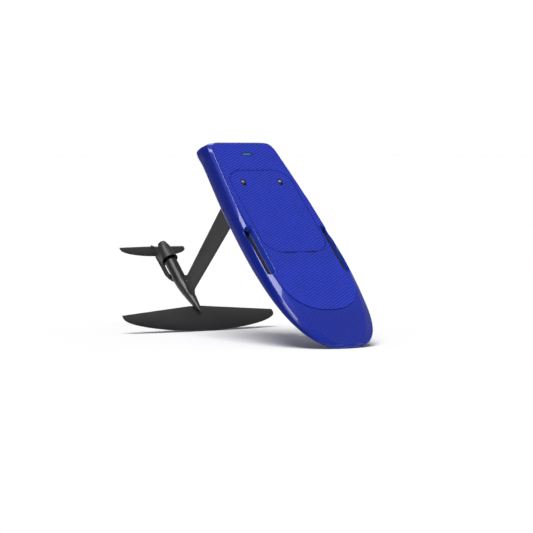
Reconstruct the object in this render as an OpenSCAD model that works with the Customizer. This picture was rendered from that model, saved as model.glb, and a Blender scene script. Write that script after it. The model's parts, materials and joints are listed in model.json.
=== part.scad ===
// Electric hydrofoil board, leaning on its nose and on the front edge of its front wing.
//
// The board frame has X from the tail to the nose, Y to port and Z up, with the deck at Z = 0.
// place() turns that frame nose-down, so that nose and front wing both stand on the floor.

/* [Board] */
// Length from the tail to the nose
board_length = 1450; // [1300:5:1750]
// Width at the widest point
board_width = 552; // [540:2:670]
// Thickness at the mast
board_thickness = 118; // [112:1:142]
// Thickness of the nose
nose_thickness = 24; // [18:1:32]
// Distance from the tail to the widest point
widest_at = 850; // [700:10:950]
// How much narrower each side is at the tail than at the widest point
tail_narrowing = 65; // [30:1:80]
// Half the straight part of the tail edge
transom_half = 140; // [100:1:160]
// Length of the rounded tail corners
tail_corner = 85; // [50:1:110]
// How much wider the tail is below its deck edge
tail_flare = 40; // [20:1:50]
// How far the bottom reaches back past the deck at the tail
tail_rake = 45; // [20:1:60]
// Radius between the sides and the bottom
chine_radius = 26; // [10:1:40]
// Width of the rail between the flat deck and the side, near the tail
rail_width = 18; // [12:1:24]
// Width of the same rail at the widest point
rail_width_mid = 30; // [20:1:40]
// How far the upper rail slope drops
rail_drop = 13; // [8:1:20]
// Wall of the hull and deck shells
skin = 3; // [2:0.5:5]
// Thickness of the foam deck pad
pad_thickness = 4; // [2:0.5:8]
// Front edge of the deck pad
pad_front = 1205; // [1120:5:1260]

/* [Battery bay] */
// Rear edge of the lid, from the tail
lid_rear = 220; // [200:1:240]
// Length of the lid
lid_length = 588; // [490:1:705]
// Width of the lid
lid_width = 388; // [340:1:400]
// Corner radius of the lid
lid_corner = 95; // [30:1:110]
// Thickness of the lid
lid_thickness = 14; // [10:0.5:18]
// Gap round the lid
lid_gap = 2.5; // [1.5:0.1:4]
// Depth of the floor of the bay
bay_depth = 81; // [70:1:88]
// Thickness of the walls and floor of the bay tub
tub_wall = 3; // [2:0.5:5]
// Thickness of the lid seal
seal_height = 3; // [2:0.5:5]
// Height of the battery pack
battery_height = 50; // [35:1:55]
// Length of the speed controller
controller_length = 118; // [90:1:130]

/* [Latches and handles] */
// Distance of the latches from the rear edge of the lid
latch_from_edge = 88; // [70:1:110]
// Distance of each latch from the middle
latch_side = 116; // [80:1:130]
// Length of a latch cup
latch_length = 46; // [40:1:60]
// Width of a latch cup
latch_width = 26; // [22:1:32]
// Rear end of the carrying handles, from the tail
handle_rear = 617; // [560:1:640]
// Length of a carrying handle
handle_length = 338; // [280:1:400]
// Inner edge of a handle, from the middle
handle_inner = 208; // [205:1:215]
// Width of a handle
handle_width = 52; // [44:1:60]
// Depth of a handle
handle_depth = 42; // [30:1:50]

/* [Mast] */
// Drop from the base plate to the drive axis
mast_drop = 843; // [700:1:1015]
// Front edge of the mast at the board, from the tail
mast_front = 273; // [255:1:290]
// Chord of the mast at the board
mast_chord = 158; // [130:1:170]
// Chord of the mast at the foot
foot_chord = 108; // [90:1:125]
// Thickness of the mast at the board
mast_thickness = 17; // [14:0.5:22]
// Thickness of the base plate
plate_thickness = 10; // [8:0.5:14]
// Diameter of the phase cable
cable_diameter = 8; // [6:0.5:9]

/* [Motor pod] */
// Outer radius of the motor housing
pod_radius = 35; // [32:0.5:42]
// Wall of the motor housing
housing_wall = 4; // [2.5:0.5:5]
// Rear end of the motor housing
housing_rear = -22; // [-30:1:-15]
// Length of the motor housing
housing_length = 154; // [150:1:185]
// Length of the fuselage in front of the motor housing
nose_length = 260; // [240:1:300]
// Diameter of the motor shaft
shaft_diameter = 10; // [8:0.5:12]
// Outer radius of the duct at its mouth
duct_mouth = 46.5; // [44:0.5:54]
// Outer radius of the duct at its rear end
duct_end = 34.5; // [32:0.5:38]
// Length of the duct
duct_length = 90; // [85:1:105]
// Wall of the duct
duct_wall = 3; // [2:0.5:4]
// Length of the nozzle
nozzle_length = 35; // [25:1:45]
// Outer radius of the nozzle at its exit
nozzle_exit = 23.5; // [20:0.5:27]
// Number of impeller blades
blades = 4; // [3:1:6]

/* [Foils] */
// Span of the front wing
wing_span = 970; // [800:1:1170]
// Chord of the front wing in the middle
wing_chord = 182; // [150:1:200]
// Leading edge of the front wing, from the tail
wing_front = 502; // [490:1:520]
// Height of the front wing above the drive axis
wing_rise = 14; // [10:0.5:16]
// Thickness of the front wing as a share of its chord
wing_ratio = 0.13; // [0.10:0.005:0.16]
// Span of the stabiliser
tail_span = 424; // [350:1:510]
// Chord of the stabiliser in the middle
tail_chord = 75; // [60:1:85]
// Leading edge of the stabiliser, from the tail
tail_front = -157; // [-170:1:-145]
// Drop of the stabiliser below the drive axis
tail_drop = 95; // [88:1:110]
// Thickness of the tail fin
fin_thickness = 10; // [7:0.5:14]

/* [Hidden] */
$fn = 48;
eps = 0.01;
joint_gap = 0.3;

// Heights in the board frame
bottom_z = -board_thickness;
plate_z = bottom_z - plate_thickness;
axis_z = plate_z - mast_drop;
wing_z = axis_z + wing_rise;
stab_z = axis_z - tail_drop;
parting_tail = -0.52 * board_thickness;
parting_nose = -0.5 * nose_thickness;

// Outline exponents of the board and of the flat part of its deck
nose_fullness = 3;
nose_bluntness = 0.4;
tail_taper = 1.35;
deck_fullness = 1.5;
deck_bluntness = 0.36;
nose_radius = nose_thickness / 2;
tail_chamfer = 12;
full_depth_to = 350;
rake_from = 200;
stations = 26;

// Battery bay
lid_front = lid_rear + lid_length;
lid_half = lid_width / 2;
lid_z = -lid_thickness;
ledge_z = lid_z - seal_height;
ledge_width = 12;
wall_grow = tub_wall - ledge_width;
collar_grow = lid_gap + tub_wall;
floor_z = -bay_depth;
inside_rear = lid_rear + ledge_width;
inside_front = lid_front - ledge_width;
inside_half = lid_half - ledge_width;
bay_play = 3;
controller_rear = inside_rear + bay_play;
battery_rear = controller_rear + controller_length + 4 * bay_play;
battery_front = inside_front - bay_play;
battery_top = floor_z + battery_height;
controller_height = 40;
controller_inset = 75;

// Lid hinge: its pin lies in the gap in front of the lid
hinge_x = lid_front + 3;
hinge_z = 1;
hinge_side = 66;
hinge_pin = 1.5;
knuckle = 3;
knuckle_length = 20;
leaf = 2;
leaf_length = 24;
hinge_width = 3 * knuckle_length + 3;

// Latches
latch_x = lid_rear + latch_from_edge;
latch_wall = 2.5;
cup_floor = -lid_thickness + 1;
lever_pivot_x = latch_x - latch_length / 2 + 13;
lever_pivot_z = -3;
lever_reach = 25;
lever_width = 14;
hook_width = 7;
hook_depth = 24;
hook_toe = 12;
keeper_gap = 1.2;
bar_width = 17;
bar_front = lever_pivot_x - hook_toe - keeper_gap;
bar_bottom = lever_pivot_z - hook_depth + 3.4;
bar_height = 5;

// Mast
foot_z = axis_z + pod_radius + 12;
saddle_z = foot_z + 26;
foot_front = mast_front - 21;
foot_thickness = mast_thickness - 3;
cable_x = mast_front - 68;
channel = cable_diameter + 1;
bolt_x = [mast_front - 163, mast_front - 3];
bolt_y = 45;
bolt_radius = 4;
block_front = mast_front + 27;
block_length = 220;
block_half = 72;

// Motor pod, from rear to front
housing_front = housing_rear + housing_length;
bore_radius = pod_radius - housing_wall;
shaft_radius = shaft_diameter / 2;
shaft_fit = 0.03;
bearing_radius = 13;
bearing_width = 8;
duct_front = housing_rear - 18;
duct_rear = duct_front - duct_length;
nozzle_rear = duct_rear - nozzle_length;
cone_rear = housing_rear - 30;
impeller_rear = duct_front - 64;
impeller_front = duct_front - 32;
hub_radius = 15;
vane_hub = 12;
blade_gap = 0.7;

// Duct radii follow straight lines between the mouth and the rear end
function duct_inner(x) =
    duct_end - duct_wall + (duct_mouth - duct_end) * (x - duct_rear) / duct_length;
blade_radius = duct_inner(impeller_rear) - blade_gap;

// ---- Board shape ----
function clamp(v) = min(max(v, 0), 1);
function smooth(v) = let (c = clamp(v)) c * c * (3 - 2 * c);

// Half width of the board at x
function front_share(x) = clamp((x - widest_at) / (board_length - widest_at));
function tail_round(x) = pow(1 - pow(clamp((tail_corner - x) / tail_corner), 2.2), 1 / 2.2);
function tail_width(x) =
    let (w = board_width / 2 - tail_narrowing * pow(clamp((widest_at - x) / widest_at), tail_taper))
    transom_half + (w - transom_half) * tail_round(x);
function half_width(x) =
    x > widest_at
    ? board_width / 2 * pow(1 - pow(min(front_share(x), 0.9995), nose_fullness), nose_bluntness)
    : tail_width(x) + tail_flare * pow(clamp((tail_corner - x) / tail_corner), 1.5);

// Half width of the flat deck at x
deck_end = board_length - nose_radius;
deck_mid = board_width / 2 - rail_width_mid;
function deck_share(x) = clamp((x - widest_at) / (deck_end - widest_at));
function deck_half(x) =
    x > widest_at
    ? deck_mid * pow(1 - pow(min(deck_share(x), 0.998), deck_fullness), deck_bluntness)
    : tail_width(x) - rail_width - (rail_width_mid - rail_width) * smooth((x - 450) / 400);

// Depth of the bottom at x, and how much both ends close in
function depth(x) =
    board_thickness - (board_thickness - nose_thickness)
    * pow(clamp((x - full_depth_to) / (board_length - full_depth_to)), 1.5);
function nose_close(x) =
    let (d = clamp((x - deck_end) / nose_radius)) nose_radius * min(1 - sqrt(1 - d * d), 0.75);
function tail_close(x) = max(0, tail_chamfer - x);
function rake(x, z) = tail_rake * pow(clamp(1 - x / rake_from), 2) * -z / board_thickness;

// Port half of the board's section, inset by the wall
function half_section(x, inset) =
    let (
        top = -inset - nose_close(x) - tail_close(x),
        low = -depth(x) + inset + nose_close(x),
        tall = top - low,
        wide = half_width(x) - inset,
        flat = min(deck_half(x), wide - 4),
        r = min(chine_radius, 0.38 * tall),
        drop = min(rail_drop, 0.42 * tall)
    )
    [
        [flat, top],
        [flat + 0.62 * (wide - flat), top - drop],
        [wide, top - 0.52 * tall],
        [wide, low + r],
        [wide - 0.29 * r, low + 0.29 * r],
        [wide - r, low]
    ];
function section(x, at, inset) =
    let (half = half_section(x, inset), n = len(half))
    concat(
        [for (p = half) [at - rake(x, p[1]), p[0], p[1]]],
        [for (i = [n - 1:-1:0]) [at - rake(x, half[i][1]), -half[i][0], half[i][1]]]
    );
function station(i) = board_length * (1 - cos(180 * i / stations)) / 2;

// Solid through rings with equal numbers of points
module loft(rings) {
    n = len(rings[0]);
    m = len(rings);
    sides = [
        for (i = [0:m - 2], j = [0:n - 1])
            let (a = i * n + j, b = i * n + (j + 1) % n)
                each [[a, b, b + n], [a, b + n, a + n]]
    ];
    caps = [[for (j = [n - 1:-1:0]) j], [for (j = [0:n - 1]) (m - 1) * n + j]];
    polyhedron([for (ring = rings) each ring], concat(sides, caps), convexity = 8);
}

// The board's outer body, or its inside when inset by a wall
module board_body(inset = 0) {
    share = (board_length - 2 * inset) / board_length;
    loft([for (i = [0:stations]) section(station(i), inset + station(i) * share, inset)]);
}

// Everything above the line where the two shells meet
module above_parting() {
    slope = atan2(parting_nose - parting_tail, board_length);
    translate([0, 0, parting_tail]) rotate([0, -slope, 0])
        translate([-500, -board_width, 0]) cube([board_length + 1000, 2 * board_width, 400]);
}
module below_parting() {
    slope = atan2(parting_nose - parting_tail, board_length);
    translate([0, 0, parting_tail]) rotate([0, -slope, 0])
        translate([-500, -board_width, -400]) cube([board_length + 1000, 2 * board_width, 400]);
}

// Flat outlines
module rounded_outline(grow = 0) {
    r = lid_corner + grow;
    x0 = lid_rear - grow;
    x1 = lid_front + grow;
    half = lid_half + grow;
    translate([x0 + r, -half]) square([x1 - x0 - 2 * r, 2 * half]);
    translate([x0, r - half]) square([x1 - x0, 2 * (half - r)]);
    for (x = [x0 + r, x1 - r], y = [r - half, half - r])
        translate([x, y]) circle(r);
}
module stadium(x0, x1, y0, y1) {
    r = (y1 - y0) / 2;
    translate([x0 + r, y0]) square([x1 - x0 - 2 * r, 2 * r]);
    for (x = [x0 + r, x1 - r]) translate([x, y0 + r]) circle(r);
}
module handle_outline(side, grow = 0) {
    inner = handle_inner - grow;
    outer = handle_inner + handle_width + grow;
    mirror([0, side < 0 ? 1 : 0])
        stadium(handle_rear - grow, handle_rear + handle_length + grow, inner, outer);
}
module latch_outline(side, grow = 0) {
    half = latch_width / 2 + grow;
    reach = latch_length / 2 + grow;
    translate([latch_x, side * latch_side]) stadium(-reach, reach, -half, half);
}
module slab(z0, z1) translate([0, 0, z0]) linear_extrude(z1 - z0) children();

// Pad outline: the flat deck, closed by a rounded front
pad_margin = 3;
pad_rear = tail_chamfer + 6;
pad_turn = 255;
function pad_half(x) =
    let (u = clamp((x - pad_front + pad_turn) / pad_turn))
    min(deck_half(x) - pad_margin, (deck_mid - 14) * pow(1 - pow(u, 2.4), 1 / 2.4));
pad_steps = 36;
function pad_x(i) = pad_rear + (pad_front - pad_rear) * (1 - cos(180 * i / pad_steps)) / 2;

// ---- Placing ----
foil_points = 20;
foil_trim = (1 - cos(180 / foil_points)) / 2;
nose_touch = [station(stations - 1), -depth(station(stations - 1)) + nose_close(station(stations - 1))];
wing_touch = [wing_front, wing_z - foil_half(0, wing_ratio) * wing_chord];
lean = atan2(nose_touch[1] - wing_touch[1], nose_touch[0] - wing_touch[0]);
shift_z = nose_touch[0] * sin(lean) - nose_touch[1] * cos(lean);
fin_tip = [tail_front - tail_chord - 10, stab_z];
front_reach = deck_end * cos(lean) - nose_radius * sin(lean) + nose_radius;
rear_reach = fin_tip[0] * cos(lean) + fin_tip[1] * sin(lean);
shift_x = -(front_reach + rear_reach) / 2;
module place() translate([shift_x, 0, shift_z]) rotate([0, lean, 0]) children();

// ---- Foil sections ----
// Half thickness at a share f of the chord, 0 at the leading edge
function foil_half(f, ratio) =
    let (s = foil_trim + f * (1 - 2 * foil_trim))
    5 * ratio * (0.2969 * sqrt(s) - 0.126 * s - 0.3516 * s * s + 0.2843 * pow(s, 3) - 0.1036 * pow(s, 4));
function foil_angle(i) = 360 * (i + 0.5) / foil_points;
function foil_share(i) = (1 + cos(foil_angle(i)) / cos(180 / foil_points)) / 2;
function foil_side(i) = foil_angle(i) < 180 ? 1 : -1;
// Section points as [share of the chord, height as a share of the chord]
function foil(ratio, camber = 0) = [
    for (i = [0:foil_points - 1])
        let (f = foil_share(i))
            [f, foil_side(i) * foil_half(f, ratio) + 4 * camber * f * (1 - f)]
];

// Ring of a level foil at span position y
function wing_ring(y, front, chord, z, ratio, camber) = [
    for (p = foil(ratio, camber)) [front - p[0] * chord, y, z + p[1] * chord]
];
// Ring of the upright mast at height z
function mast_ring(z, front, chord, ratio) = [
    for (p = foil(ratio)) [front - p[0] * chord, p[1] * chord, z]
];

// Front wing
wing_steps = 8;
wing_flat = 40;
wing_sweep = 113;
wing_camber = 0.02;
tip_chord = 22;
wing_half = wing_span / 2;
function wing_at(i) = wing_flat + (wing_half - wing_flat) * sin(90 * i / wing_steps);
function wing_drop(u) = 1 - pow(1 - pow(clamp(u), 1.5), 0.5);
function wing_le(u) = wing_front - wing_sweep * wing_drop(u);
function wing_te(u) = wing_front - wing_chord + (wing_chord - wing_sweep - tip_chord) * u;
function wing_station(y) =
    let (u = clamp((abs(y) - wing_flat) / (wing_half - wing_flat)))
    wing_ring(y, wing_le(u), wing_le(u) - wing_te(u), wing_z, wing_ratio - 0.04 * u, wing_camber);

// Stabiliser
stab_steps = 7;
stab_half = tail_span / 2;
stab_sweep = 58;
stab_ratio = 0.11;
stab_tip = 14;
function stab_at(i) = stab_half * sin(90 * i / stab_steps);
function stab_le(u) = tail_front - stab_sweep * (1 - pow(1 - pow(clamp(u), 1.8), 0.45));
function stab_te(u) = tail_front - tail_chord + (tail_chord - stab_sweep - stab_tip) * u * u;
function stab_station(y) =
    let (u = abs(y) / stab_half)
    wing_ring(y, stab_le(u), stab_le(u) - stab_te(u), stab_z, stab_ratio, 0);

// Fuselage nose: round sections that shrink and rise towards the front
nose_rise = 37;
nose_steps = 10;
nose_points = 24;
function nose_share(i) = i == nose_steps ? 0.995 : sin(90 * i / nose_steps);
function nose_round(t) = pod_radius * pow(1 - pow(t, 1.7), 0.7);
function nose_ring(t) = [
    for (j = [0:nose_points - 1])
        let (a = 360 * j / nose_points, r = nose_round(t))
            [housing_front + nose_length * t, r * cos(a), axis_z + nose_rise * t - r * sin(a)]
];
module nose_body() loft([for (i = [0:nose_steps]) nose_ring(nose_share(i))]);

// The mast, or the room for it when grown
module mast_body(grow = 0) {
    loft([
        mast_ring(foot_z - grow, foot_front + grow, foot_chord + 2 * grow,
            (foot_thickness + 2 * grow) / (foot_chord + 2 * grow)),
        mast_ring(plate_z, mast_front + grow, mast_chord + 2 * grow,
            (mast_thickness + 2 * grow) / (mast_chord + 2 * grow))
    ]);
}

// The middle of the front wing as a straight bar
module wing_bar() {
    translate([0, wing_flat, wing_z]) rotate([90, 0, 0])
        linear_extrude(2 * wing_flat)
            polygon([for (p = foil(wing_ratio, wing_camber))
                [wing_front - p[0] * wing_chord, p[1] * wing_chord]]);
}

// The middle of the stabiliser as a straight bar, open downwards
module stab_bar() {
    translate([0, 20, stab_z]) rotate([90, 0, 0])
        linear_extrude(40) polygon(concat(
            [for (p = foil(stab_ratio)) if (p[1] > 0) [tail_front - p[0] * tail_chord, p[1] * tail_chord]],
            [[tail_front, -20], [tail_front - tail_chord, -20]]
        ));
}

// Drive-line helper: cylinders from x0 to x1 on the drive axis
module rod(x0, x1, r) translate([x0, 0, axis_z]) rotate([0, 90, 0]) cylinder(r = r, h = x1 - x0);
module cone(x0, x1, r0, r1)
    translate([x0, 0, axis_z]) rotate([0, 90, 0]) cylinder(r1 = r0, r2 = r1, h = x1 - x0);
module ring(x0, x1, outer, inner) difference() {
    rod(x0, x1, outer);
    rod(x0 - 1, x1 + 1, inner);
}
module tube_z(x, y, z0, z1, r) translate([x, y, z0]) cylinder(r = r, h = z1 - z0);
// Bolt along Z with a conical head at z0, where the head is downwards for z1 > z0
module sunk_bolt(x, y, z0, z1, r) {
    up = z1 > z0 ? 1 : -1;
    translate([x, y, z0]) mirror([0, 0, up > 0 ? 0 : 1]) {
        cylinder(r1 = 2 * r, r2 = r, h = r);
        cylinder(r = r, h = abs(z1 - z0));
    }
}

// ---- Board ----
module mast_holes(z0, z1, r) {
    for (x = bolt_x, y = [-bolt_y, bolt_y]) tube_z(x, y, z0, z1, r);
}

module hull_shell() place() color([0.10, 0.16, 0.52]) difference() {
    board_body();
    board_body(skin);
    above_parting();
    mast_holes(bottom_z - 1, bottom_z + skin + 1, bolt_radius + joint_gap);
    tube_z(cable_x, 0, bottom_z - 1, bottom_z + skin + 1, channel / 2);
}

light_x = 98;
light_half = 28;
light_width = 11;
light_depth = 12;
module light_block(z0, z1, grow) {
    translate([light_x - light_width / 2 - grow, -light_half - grow, z0])
        cube([light_width + 2 * grow, 2 * (light_half + grow), z1 - z0]);
}

module hinge_rooms(x0, x1, z0, z1) {
    for (side = [-1, 1])
        translate([x0, side * hinge_side - hinge_width / 2, z0]) cube([x1 - x0, hinge_width, z1 - z0]);
}

module deck_shell() place() color([0.12, 0.19, 0.60]) difference() {
    board_body();
    board_body(skin);
    below_parting();
    slab(-60, 5) rounded_outline(lid_gap);
    slab(-60, 5) handle_outline(1, joint_gap);
    slab(-60, 5) handle_outline(-1, joint_gap);
    light_block(-10, 5, joint_gap);
    hinge_rooms(lid_front, hinge_x + knuckle + 1, -10, 5);
}

foam_gap = 0.3;
seal_play = 0.2;
module foam_core() place() color("white") difference() {
    board_body(skin + foam_gap);
    slab(ledge_z - tub_wall - foam_gap, 5) rounded_outline(collar_grow + foam_gap);
    slab(floor_z - tub_wall - foam_gap, 5) rounded_outline(wall_grow + foam_gap);
    for (side = [-1, 1]) slab(-handle_depth - foam_gap, 5) handle_outline(side, foam_gap);
    light_block(-light_depth - foam_gap, 5, 2);
    translate([block_front - block_length - foam_gap, -block_half - foam_gap, bottom_z - 5])
        cube([block_length + 2 * foam_gap, 2 * (block_half + foam_gap), board_thickness - bay_depth + 5]);
}

module deck_pad() place() color([0.20, 0.26, 0.70]) difference() {
    slab(0, pad_thickness) polygon(concat(
        [for (i = [0:pad_steps]) [pad_x(i), pad_half(pad_x(i)) + eps]],
        [for (i = [pad_steps:-1:0]) [pad_x(i), -pad_half(pad_x(i)) - eps]]
    ));
    slab(-1, pad_thickness + 1) rounded_outline(lid_gap);
    translate([lid_front - lid_corner, lid_corner - lid_half, -1])
        cube([hinge_x + knuckle + 1.5 - lid_front + lid_corner, 2 * (lid_half - lid_corner), pad_thickness + 2]);
    for (side = [-1, 1]) slab(-1, pad_thickness + 1) handle_outline(side, 2);
    light_block(-1, pad_thickness + 1, 1);
    hinge_rooms(hinge_x, hinge_x + knuckle + leaf_length + 0.6, -1, leaf + 0.2);
    hinge_rooms(lid_front, hinge_x + knuckle + 1.5, -1, pad_thickness + 1);
}

module lid_pad() place() color([0.20, 0.26, 0.70]) difference() {
    slab(0, pad_thickness) rounded_outline(-1);
    for (side = [-1, 1]) slab(-1, pad_thickness + 1) latch_outline(side, 0.5);
    hinge_rooms(hinge_x - knuckle - leaf_length - 0.6, hinge_x + knuckle, -1, leaf + 0.2);
    hinge_rooms(hinge_x - knuckle - 1, hinge_x + knuckle, -1, pad_thickness + 1);
}

lid_plate = 6;
rib_columns = 4;
rib_rows = 3;
rib = 8;
module battery_lid() place() color([0.11, 0.17, 0.55]) difference() {
    slab(lid_z, 0) rounded_outline();
    // Pockets in the underside, clear of the latches
    pocket_x = (lid_length - 190) / rib_columns;
    pocket_y = (lid_width - 90) / rib_rows;
    for (i = [0:rib_columns - 1], j = [0:rib_rows - 1])
        translate([lid_rear + 145 + i * pocket_x, (j - rib_rows / 2) * pocket_y + rib / 2, lid_z - 1])
            cube([pocket_x - rib, pocket_y - rib, lid_thickness - lid_plate + 1]);
    for (side = [-1, 1]) slab(lid_z - 1, 1) latch_outline(side, 0);
    hinge_rooms(hinge_x - knuckle - 1, hinge_x + knuckle, -4, 1);
}

module lid_seal() place() color([0.08, 0.08, 0.08]) slab(ledge_z, lid_z - seal_play) difference() {
    rounded_outline(-1);
    rounded_outline(-9);
}

module knuckles(side, low, high) {
    translate([hinge_x, side * hinge_side + low, hinge_z]) rotate([-90, 0, 0])
        difference() {
            cylinder(r = knuckle, h = high - low);
            translate([0, 0, -1]) cylinder(r = hinge_pin + 0.05, h = high - low + 2);
        }
}
module leaf_plate(side, x0, x1, low, high) {
    translate([x0, side * hinge_side + low, 0]) cube([x1 - x0, high - low, leaf]);
}
module pin_room(side) {
    translate([hinge_x, side * hinge_side - hinge_width, hinge_z]) rotate([-90, 0, 0])
        cylinder(r = hinge_pin + 0.05, h = 2 * hinge_width);
}
module hinge_deck_leaves() place() color("dimgray") for (side = [-1, 1]) difference() {
    union() {
        for (end = [-1.5, 0.5])
            knuckles(side, end * knuckle_length, (end + 1) * knuckle_length);
        leaf_plate(side, hinge_x + knuckle + 1.6, hinge_x + knuckle + leaf_length,
            -1.5 * knuckle_length, 1.5 * knuckle_length);
        for (end = [-1.5, 0.5])
            leaf_plate(side, hinge_x, hinge_x + knuckle + 2,
                end * knuckle_length, (end + 1) * knuckle_length);
    }
    pin_room(side);
}
module hinge_lid_leaves() place() color("dimgray") for (side = [-1, 1]) difference() {
    half = knuckle_length / 2 - joint_gap;
    union() {
        knuckles(side, -half, half);
        leaf_plate(side, hinge_x - knuckle - leaf_length, hinge_x, -half, half);
    }
    pin_room(side);
}
module hinge_pins() place() color("silver") for (side = [-1, 1])
    translate([hinge_x, side * hinge_side - 1.5 * knuckle_length, hinge_z]) rotate([-90, 0, 0])
        cylinder(r = hinge_pin, h = 3 * knuckle_length);

pin_radius = 1.5;
module lever_axis(side, half, r) {
    translate([lever_pivot_x, side * latch_side - half, lever_pivot_z]) rotate([-90, 0, 0])
        cylinder(r = r, h = 2 * half);
}
module latch_cups() place() color([0.06, 0.06, 0.07]) for (side = [-1, 1]) difference() {
    slab(cup_floor, pad_thickness) latch_outline(side, -0.1);
    slab(cup_floor + 2, pad_thickness + 1) latch_outline(side, -latch_wall);
    translate([lever_pivot_x - 7, side * latch_side - hook_width / 2 - 0.8, cup_floor - 1])
        cube([30, hook_width + 1.6, 4]);
    lever_axis(side, latch_width, pin_radius);
}
module latch_lever(side) place() color([0.35, 0.36, 0.40]) difference() {
    translate([lever_pivot_x, side * latch_side, lever_pivot_z]) {
        // Paddle that lies level with the pad
        translate([-4, -lever_width / 2, 0.8]) cube([lever_reach, lever_width, 4.7]);
        // Barrel round the pin
        rotate([90, 0, 0]) translate([0, 0, -lever_width / 2]) cylinder(r = 3.6, h = lever_width);
        // Stem and toe of the hook
        translate([-3, -hook_width / 2, -hook_depth]) cube([6, hook_width, hook_depth]);
        translate([-hook_toe, -hook_width / 2, -hook_depth]) cube([hook_toe, hook_width, 3]);
    }
    lever_axis(side, latch_width, pin_radius + 0.05);
}
module latch_lever_left() latch_lever(1);
module latch_lever_right() latch_lever(-1);
module latch_pins() place() color("silver") for (side = [-1, 1])
    lever_axis(side, latch_width / 2 - 1, pin_radius);

module hold_down_bar() place() color("dimgray") slab(bar_bottom, bar_bottom + bar_height) intersection() {
    rounded_outline(-ledge_width - 0.05);
    translate([bar_front - bar_width, -inside_half]) square([bar_width, 2 * inside_half]);
}

module handle_cup(side) place() color([0.09, 0.14, 0.45]) intersection() {
    difference() {
        slab(-handle_depth, 5) handle_outline(side);
        slab(-handle_depth + 3, 6) handle_outline(side, -3);
    }
    board_body();
}
module handle_cup_left() handle_cup(1);
module handle_cup_right() handle_cup(-1);

module light_housing() place() color([0.05, 0.05, 0.06]) difference() {
    light_block(-light_depth, 0, 0);
    light_block(-light_depth + 4, 1, -1.5);
}
module light_lens() place() color([0.25, 0.75, 0.80]) {
    light_block(-light_depth + 6, pad_thickness - 1, -1.6);
}

module bay_tub() place() color([0.13, 0.13, 0.14]) difference() {
    union() {
        slab(ledge_z - tub_wall, -skin) rounded_outline(collar_grow);
        slab(floor_z - tub_wall, ledge_z) rounded_outline(wall_grow);
    }
    slab(ledge_z, 0) rounded_outline(lid_gap);
    slab(floor_z, 0) rounded_outline(-ledge_width);
    hinge_rooms(lid_front, hinge_x + knuckle + 1, -6, 0);
    tube_z(cable_x + 60, 0, floor_z - tub_wall - 1, floor_z + 1, channel / 2);
}

module battery_pack() place() color([0.16, 0.16, 0.18]) difference() {
    slab(floor_z, battery_top) intersection() {
        rounded_outline(-ledge_width - bay_play);
        translate([battery_rear, -inside_half]) square([battery_front - battery_rear, 2 * inside_half]);
    }
    // Finger recess for lifting the pack
    translate([(battery_rear + battery_front) / 2 - 55, -20, battery_top - 18]) cube([110, 40, 19]);
}
module speed_controller() place() color([0.55, 0.56, 0.58]) difference() {
    translate([controller_rear, controller_inset - inside_half, floor_z])
        cube([controller_length, 2 * (inside_half - controller_inset), controller_height]);
    // Room for the gland, and cooling slots along the top
    tube_z(cable_x + 60, 0, floor_z - 1, floor_z + 24, 16);
    for (i = [1:9])
        translate([controller_rear + i * controller_length / 10 - 2, -inside_half,
            floor_z + controller_height - 6]) cube([4, 2 * inside_half, 10]);
}
module power_lead() place() color([0.75, 0.12, 0.10]) {
    for (y = [-14, 14])
        translate([controller_rear + controller_length, y + 40, floor_z + 20]) rotate([0, 90, 0])
            cylinder(r = 4, h = battery_rear - controller_rear - controller_length);
}
module cable_gland() place() color([0.08, 0.08, 0.09]) difference() {
    union() {
        tube_z(cable_x + 60, 0, floor_z, floor_z + 6, 11);
        tube_z(cable_x + 60, 0, floor_z, floor_z + 18, 7.5);
    }
    tube_z(cable_x + 60, 0, floor_z - 1, floor_z + 19, cable_diameter / 2 + 0.1);
}

module mast_block() place() color([0.72, 0.55, 0.35]) difference() {
    translate([block_front - block_length, -block_half, bottom_z + skin])
        cube([block_length, 2 * block_half, -bay_depth - tub_wall - bottom_z - skin]);
    mast_holes(bottom_z, bottom_z + skin + 24, 6.5);
    tube_z(cable_x, 0, bottom_z, bottom_z + 20, channel / 2);
    tube_z(cable_x + 60, 0, bottom_z + 11, 0, channel / 2);
    translate([cable_x, 0, bottom_z + 16]) rotate([0, 90, 0]) cylinder(r = channel / 2, h = 60);
}
module threaded_inserts() place() color("silver") difference() {
    mast_holes(bottom_z + skin, bottom_z + skin + 24, 6.5);
    mast_holes(bottom_z - 1, bottom_z + skin + 25, bolt_radius);
}

// ---- Mast ----
plate_rear = mast_front - 173;
plate_length = 190;
plate_half = 60;
head_screw_x = [mast_front - 110, mast_front - 30];
module mast_plate() place() color([0.10, 0.10, 0.11]) difference() {
    slab(plate_z, bottom_z) difference() {
        union() {
            translate([plate_rear + 12, -plate_half]) square([plate_length - 24, 2 * plate_half]);
            translate([plate_rear, 12 - plate_half]) square([plate_length, 2 * plate_half - 24]);
            for (x = [plate_rear + 12, plate_rear + plate_length - 12], y = [12 - plate_half, plate_half - 12])
                translate([x, y]) circle(12);
        }
    }
    for (x = bolt_x, y = [-bolt_y, bolt_y]) sunk_bolt(x, y, plate_z, 0, bolt_radius);
    for (x = head_screw_x) sunk_bolt(x, 0, bottom_z, plate_z - 5, 3);
    tube_z(cable_x, 0, plate_z - 1, bottom_z + 1, channel / 2);
}
module mast_bolts() place() color("silver")
    for (x = bolt_x, y = [-bolt_y, bolt_y])
        sunk_bolt(x, y, plate_z, bottom_z + skin + 22, bolt_radius);

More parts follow.
